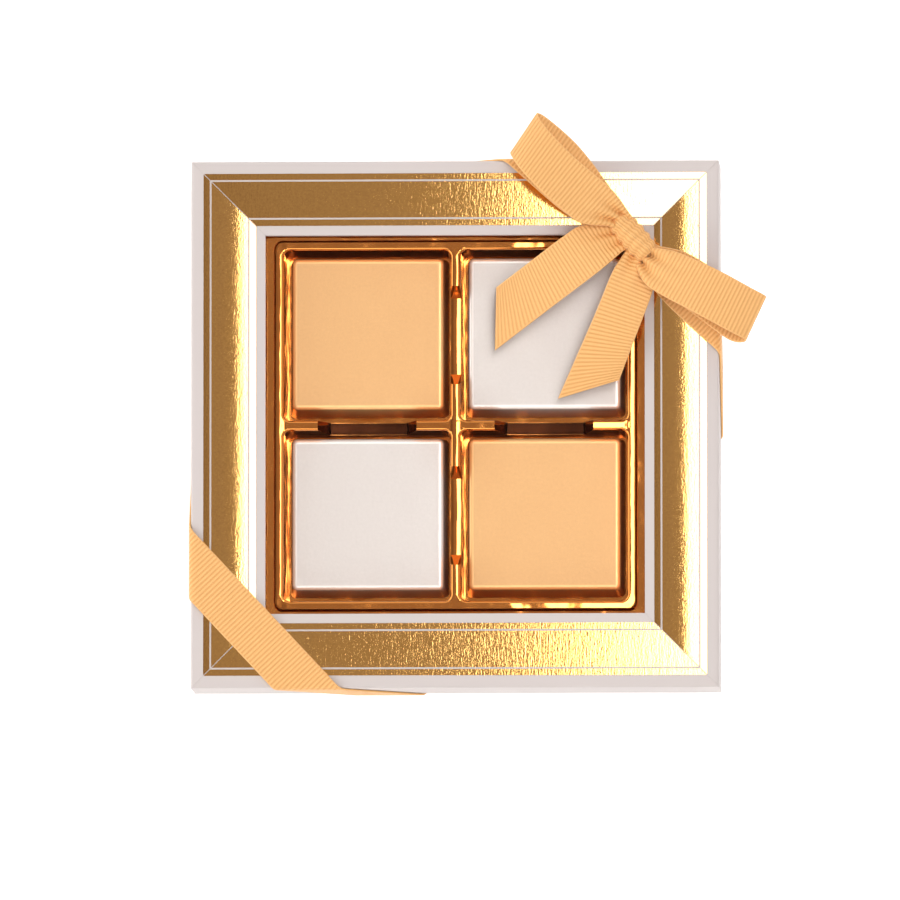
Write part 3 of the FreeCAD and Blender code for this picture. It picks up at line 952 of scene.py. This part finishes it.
@dataclass
class CornerRun:
    """The ribbon across a corner of the lid, down its walls and tucked up inside the skirt."""

    node: str
    on_side: float
    on_front: float
    turned: bool
    bend: float = 1.2 * MM
    clearance: float = 0.35 * MM
    slack: float = 0.3 * MM
    pinch: float = 0.0
    pinch_reach: float = 10.0 * MM
    tuck: float = 7.0 * MM
    board: float = 1.0 * MM
    stock: RibbonStock = field(default_factory=RibbonStock)

    def past_edge(self, past: float, drop: float, wall: float) -> tuple[float, float]:
        """Where a point of the ribbon goes that lies past the start of the bend.

        Args:
            past: how far past it lies on the flat ribbon.
            drop: the height of the straight stretch on the wall.
            wall: the thickness that the lower turn goes round.

        Returns:
            How far out and how far down it goes.
        """
        quarter = self.bend * math.pi / 2
        if past <= 0:
            return past, 0.0
        if past < quarter:
            angle = past / self.bend
            return self.bend * math.sin(angle), self.bend * (1 - math.cos(angle))
        past -= quarter
        if past < drop:
            return self.bend, self.bend + past
        past -= drop
        radius = wall / 2
        half = radius * math.pi
        if past < half:
            angle = past / radius
            return self.bend - radius + radius * math.cos(angle), self.bend + drop + radius * math.sin(angle)
        return self.bend - wall, self.bend + drop - (past - half)

    def build(self, finish: bpy.types.Material) -> bpy.types.Object:
        """Makes the run.

        Args:
            finish: the ribbon's material.

        Returns:
            The piece, in place of its CAD node.
        """
        rail_low, rail_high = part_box("frame_rail_left")
        edge = -rail_low.x
        top = rail_high.z + self.clearance
        skirt = rail_low.z
        flat = edge + self.slack - self.bend
        drop = top - self.bend - skirt
        wall = self.slack + self.clearance + self.board
        reach = self.bend * math.pi / 2 + drop + wall / 2 * math.pi + self.tuck
        start = Vector((-edge, -edge + self.on_side, 0))
        end = Vector((-edge + self.on_front, -edge, 0))
        ahead = (end - start).normalized()
        side = Vector((-ahead.y, ahead.x, 0))
        lead_in, lead_out = reach / ahead.x, reach / -ahead.y
        length = (end - start).length
        total = lead_in + length + lead_out
        count = round(total / self.stock.row_step)
        rows, lengths = [], []
        for i in range(count + 1):
            at = total * i / count
            lengths.append(at)
            row = []
            from_middle = at - lead_in - length / 2
            narrow = 1 - self.pinch * math.exp(-((from_middle / self.pinch_reach) ** 2))
            for spot in self.stock.across():
                spread = start + ahead * (at - lead_in) + side * spot * narrow
                out_x, down_x = self.past_edge(-flat - spread.x, drop, wall)
                out_y, down_y = self.past_edge(-flat - spread.y, drop, wall)
                place = Vector((-flat - out_x, -flat - out_y, top - down_x - down_y))
                row.append(Vector((-place.x, -place.y, place.z)) if self.turned else place)
            rows.append(row)
        piece = self.stock.lay(f"{self.node}_run", rows, lengths)
        sides = (Side.RIGHT, Side.TOP) if self.turned else (Side.LEFT, Side.BOTTOM)
        rails = [f"frame_rail_{side.value}_board" for side in sides]
        self.stock.fasten(piece, self.node, finish, total, "folded", rails)
        return piece


@dataclass
class Knot:
    """The knot: ribbon drawn once round the run, gathered into a barrel."""

    node: str = "bow_knot"
    angle: float = -49.0
    length: float = 11.6 * MM
    half_width: float = 3.1 * MM
    half_height: float = 3.4 * MM
    shift: float = -1.2 * MM
    end_share: float = 0.72
    gathers: float = 2.5
    gather: float = 0.22 * MM
    slant: float = 0.35
    stock: RibbonStock = field(default_factory=lambda: RibbonStock(row_step=0.2 * MM, columns=40))

    def build(self, knot: Vector, finish: bpy.types.Material) -> bpy.types.Object:
        """Makes the knot.

        Args:
            knot: its middle.
            finish: the ribbon's material.

        Returns:
            The piece, in place of its CAD node.
        """
        turn = Matrix.Rotation(math.radians(self.angle), 3, "Z")
        girth = math.pi * (self.half_width + self.half_height)
        count = round(girth / self.stock.row_step)
        rows, lengths = [], []
        for i in range(count + 1):
            row = []
            for spot in self.stock.across():
                share = spot / self.stock.width * 2
                angle = math.tau * i / count + self.slant * share
                swell = self.end_share + (1 - self.end_share) * math.sqrt(max(0.0, 1 - share**2))
                wave = self.gather * math.cos(math.tau * self.gathers * share + math.sin(angle))
                across = (self.half_width * swell + wave) * math.sin(angle)
                lift = (self.half_height * swell + wave) * math.cos(angle)
                row.append(knot + turn @ Vector((share * self.length / 2 + self.shift, across, lift)))
            rows.append(row)
            lengths.append(girth * i / count)
        piece = self.stock.lay(f"{self.node}_ribbon", rows, lengths)
        self.stock.fasten(piece, self.node, finish, girth, "gathered", ["ribbon_upper_right_run"])
        return piece


@dataclass
class Ribbon:
    """All of the ribbon: two corner runs, the knot, two loops and two tails."""

    finish: GrosgrainFinish = GrosgrainFinish()
    runs: tuple[CornerRun, ...] = (
        CornerRun("ribbon_lower_left", 29.9 * MM, 27.9 * MM, False),
        CornerRun("ribbon_upper_right", 38.7 * MM, 43.0 * MM, True, pinch=0.6),
    )
    knot: Knot = field(default_factory=Knot)

    def bow_pieces(self) -> list[BowPiece]:
        """Sets out the loops and tails by their stations from the knot.

        Returns:
            The four pieces.
        """
        left_loop = BowPiece(
            "bow_loop_left",
            137.0,
            [
                Station(4.0, -0.8, 1.0, 0.0, 0.0, 0.4, 0.9),
                Station(7.0, -0.9, 2.4, 4.0, 0.0, 0.48, 0.8),
                Station(10.5, 0.2, 3.8, 8.0, 0.0, 0.8, 0.45),
                Station(14.0, 0.9, 4.7, 10.0, 2.0, 0.97, 0.1),
                Station(24.0, 1.4, 5.6, 14.0, 5.0),
                Station(33.0, 0.8, 4.9, 14.0, 8.0),
                Station(37.5, -0.5, 2.4, 12.0, 10.0),
                Station(34.0, -1.4, 0.3, 10.0, 11.0),
                Station(25.0, -1.4, -0.8, 8.0, 7.0),
                Station(14.0, 0.0, -0.9, 8.0, 3.0, 0.9, 0.2),
                Station(4.0, 0.0, -0.8, 0.0, 0.0, 0.42, 0.9),
            ],
        )
        right_loop = BowPiece(
            "bow_loop_right",
            -33.0,
            [
                Station(4.0, -2.6, 1.0, 0.0, 0.0, 0.5, 0.9),
                Station(7.0, -2.9, 2.6, -4.0, 0.0, 0.76, 0.5),
                Station(11.0, -2.6, 3.8, -8.0, 2.0, 0.93, 0.15),
                Station(21.0, -1.5, 4.9, -10.0, 5.0),
                Station(30.5, -0.7, 4.2, -10.0, 8.0),
                Station(34.7, -0.4, 2.2, -10.0, 8.5),
                Station(31.5, -2.2, 0.4, -8.0, 6.5),
                Station(22.0, -1.6, -0.6, -8.0, 4.0),
                Station(12.0, -1.2, -0.9, -6.0, 3.0, 0.9, 0.2),
                Station(4.0, -1.4, -0.8, 0.0, 0.0, 0.42, 0.9),
            ],
        )
        left_tail = BowPiece(
            "bow_tail_left",
            216.0,
            [
                Station(1.5, -2.4, -0.6, 0.0, 0.0, 0.42, 0.8),
                Station(4.5, -3.8, 0.6, 0.0, 0.0, 0.66, 0.5),
                Station(9.0, -5.0, 1.5, 0.0, 0.0, 0.95, 0.15),
                Station(14.0, -5.1, 1.3),
                Station(26.0, -5.1, -1.2),
                Station(38.6, -5.1, -4.6),
            ],
            cut=0.8,
        )
        right_tail = BowPiece(
            "bow_tail_right",
            247.0,
            [
                Station(2.0, 1.4, -0.6, 0.0, 0.0, 0.42, 0.8),
                Station(6.0, 2.7, 0.6, 0.0, 0.0, 0.74, 0.4),
                Station(10.0, 3.1, 0.9, 0.0, 0.0, 0.9, 0.1),
                Station(20.0, 3.3, -0.4, 0.0, 0.0, 0.93),
                Station(37.5, 3.2, -4.6),
            ],
            cut=-0.84,
        )
        return [left_loop, right_loop, left_tail, right_tail]

    def build(self) -> None:
        """Makes every piece of ribbon."""
        finish = self.finish.build("ribbon_grosgrain")
        low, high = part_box("bow_knot")
        middle = (low + high) / 2
        for run in self.runs:
            run.build(finish)
        self.knot.build(middle, finish)
        for piece in self.bow_pieces():
            piece.build(middle, finish)


@dataclass
class Studio:
    """The pale floor, the soft light and the camera."""

    floor_size: float = 12.0
    field_width: float = 218.0 * MM
    distance: float = 4.5
    tilt: float = 4.5
    yaw: float = 2.2
    aim: tuple[float, float, float] = (-1.2 * MM, -6.3 * MM, 24.0 * MM)
    sensor: float = 36.0
    dark_sky: Colour = (0.38, 0.31, 0.27)
    panel_light: Colour = (7.6, 7.4, 7.2)
    low_sky: Colour = (0.42, 0.415, 0.415)
    high_sky: Colour = (1.05, 1.04, 1.04)
    left_sky: Colour = (2.3, 2.25, 2.2)
    left_edge: tuple[float, float] = (-0.45, -0.75)
    dim_sky: Colour = (0.2, 0.15, 0.12)
    dim_edge: tuple[float, float] = (-0.15, -0.35)
    front_sky: Colour = (3.6, 3.5, 3.4)
    front_edge: tuple[float, float] = (-0.68, -0.76)
    front_ends: tuple[float, float] = (0.3, 0.45)
    front_foot: tuple[float, float] = (0.36, 0.5)
    panel_left: tuple[float, float] = (0.03, 0.055)
    panel_right: tuple[float, float] = (0.26, 0.36)
    panel_end: tuple[float, float] = (0.36, 0.46)
    overhead_edge: tuple[float, float] = (0.55, 0.85)
    view_transform: str = "Standard"

    def floor(self) -> None:
        """Lays the floor."""
        bpy.ops.object.select_all(action="DESELECT")
        bpy.ops.mesh.primitive_plane_add(size=self.floor_size, location=(0, 0, CAD_BOX[0].z))
        floor = bpy.context.object
        floor.name = "studio_floor"
        floor.data.materials.append(FloorFinish().build("studio_floor"))

    def sky(self) -> None:
        """Lights the room: dim overhead with one bright panel on the right, and pale sides."""
        world = bpy.data.worlds.new("studio")
        bpy.context.scene.world = world
        world.use_nodes = True
        tree = world.node_tree
        place = tree.nodes.new("ShaderNodeTexCoord")
        split = tree.nodes.new("ShaderNodeSeparateXYZ")
        tree.links.new(place.outputs["Generated"], split.inputs[0])
        across, along, up = (split.outputs[axis] for axis in "XYZ")
        panel = self.blend(tree, across, self.panel_left)
        panel = self.times(tree, panel, self.blend(tree, across, self.panel_right[::-1]))
        panel = self.times(tree, panel, self.within(tree, along, self.panel_end))
        sides = self.mix(tree, self.blend(tree, along, (-1.0, 1.0)), self.low_sky, self.high_sky)
        sides = self.mix(tree, self.blend(tree, across, self.left_edge), sides, self.left_sky)
        front = self.blend(tree, along, self.front_edge)
        front = self.times(tree, front, self.within(tree, across, self.front_ends))
        front = self.times(tree, front, self.blend(tree, up, self.front_foot))
        sides = self.mix(tree, front, sides, self.front_sky)
        overhead = self.mix(tree, self.blend(tree, across, self.dim_edge), self.dark_sky, self.dim_sky)
        overhead = self.mix(tree, panel, overhead, self.panel_light)
        room = self.mix(tree, self.blend(tree, up, self.overhead_edge), sides, overhead)
        background = next(n for n in tree.nodes if n.type == "BACKGROUND")
        tree.links.new(room, background.inputs["Color"])

    @staticmethod
    def blend(tree: bpy.types.NodeTree, value: Socket, span: tuple[float, float]) -> Socket:
        """A smooth step from 0 to 1.

        Args:
            tree: the world's nodes.
            value: the value that steps.
            span: where the step starts and ends, which may run down.

        Returns:
            The step.
        """
        node = tree.nodes.new("ShaderNodeMapRange")
        node.interpolation_type = "SMOOTHSTEP"
        tree.links.new(value, node.inputs["Value"])
        node.inputs["From Min"].default_value, node.inputs["From Max"].default_value = span
        return node.outputs["Result"]

    def within(self, tree: bpy.types.NodeTree, value: Socket, ends: tuple[float, float]) -> Socket:
        """A band about 0 that fades out on both sides.

        Args:
            tree: the world's nodes.
            value: the value that the band lies along.
            ends: where it starts to fade and where it ends.

        Returns:
            The band, from 0 to 1.
        """
        far, near = ends[::-1]
        return self.times(tree, self.blend(tree, value, (far, near)), self.blend(tree, value, (-far, -near)))

    @staticmethod
    def times(tree: bpy.types.NodeTree, a: Socket, b: Socket) -> Socket:
        """The product of two values.

        Args:
            tree: the world's nodes.
            a: the first value.
            b: the second value.

        Returns:
            The product.
        """
        node = tree.nodes.new("ShaderNodeMath")
        node.operation = "MULTIPLY"
        tree.links.new(a, node.inputs[0])
        tree.links.new(b, node.inputs[1])
        return node.outputs[0]

    @staticmethod
    def mix(tree: bpy.types.NodeTree, value: Socket, low: Colour | Socket, high: Colour | Socket) -> Socket:
        """A colour between two.

        Args:
            tree: the world's nodes.
            value: the place between them, from 0 to 1.
            low: the colour at 0.
            high: the colour at 1.

        Returns:
            The colour.
        """
        node = tree.nodes.new("ShaderNodeMix")
        node.data_type = "RGBA"
        tree.links.new(value, node.inputs[0])
        for place, colour in ((MIX_LOW, low), (MIX_HIGH, high)):
            if isinstance(colour, Socket):
                tree.links.new(colour, node.inputs[place])
            else:
                node.inputs[place].default_value = (*colour, 1.0)
        return node.outputs[MIX_RESULT]

    def camera(self) -> None:
        """Sets the camera over the lid, a little towards its lower edge."""
        data = bpy.data.cameras.new("camera")
        data.sensor_width = self.sensor
        data.lens = self.sensor * self.distance / self.field_width
        camera = bpy.data.objects.new("camera", data)
        bpy.context.scene.collection.objects.link(camera)
        tilt, yaw = math.radians(self.tilt), math.radians(self.yaw)
        back = Vector((math.sin(yaw), -math.sin(tilt), math.cos(tilt))).normalized()
        camera.location = Vector(self.aim) + back * self.distance
        right = Vector((0, 1, 0)).cross(back).normalized()
        camera.rotation_euler = Matrix((right, back.cross(right), back)).transposed().to_euler()
        bpy.context.scene.camera = camera

    def build(self) -> None:
        """Makes the floor, light and camera."""
        self.floor()
        self.sky()
        self.camera()
        bpy.context.scene.view_settings.view_transform = self.view_transform


def main() -> None:
    """Builds the studio, the packing and the ribbon in turn."""
    logging.basicConfig(level=logging.INFO)
    Packing().build()
    Ribbon().build()
    Studio().build()


if __name__ == "__main__":
    main()
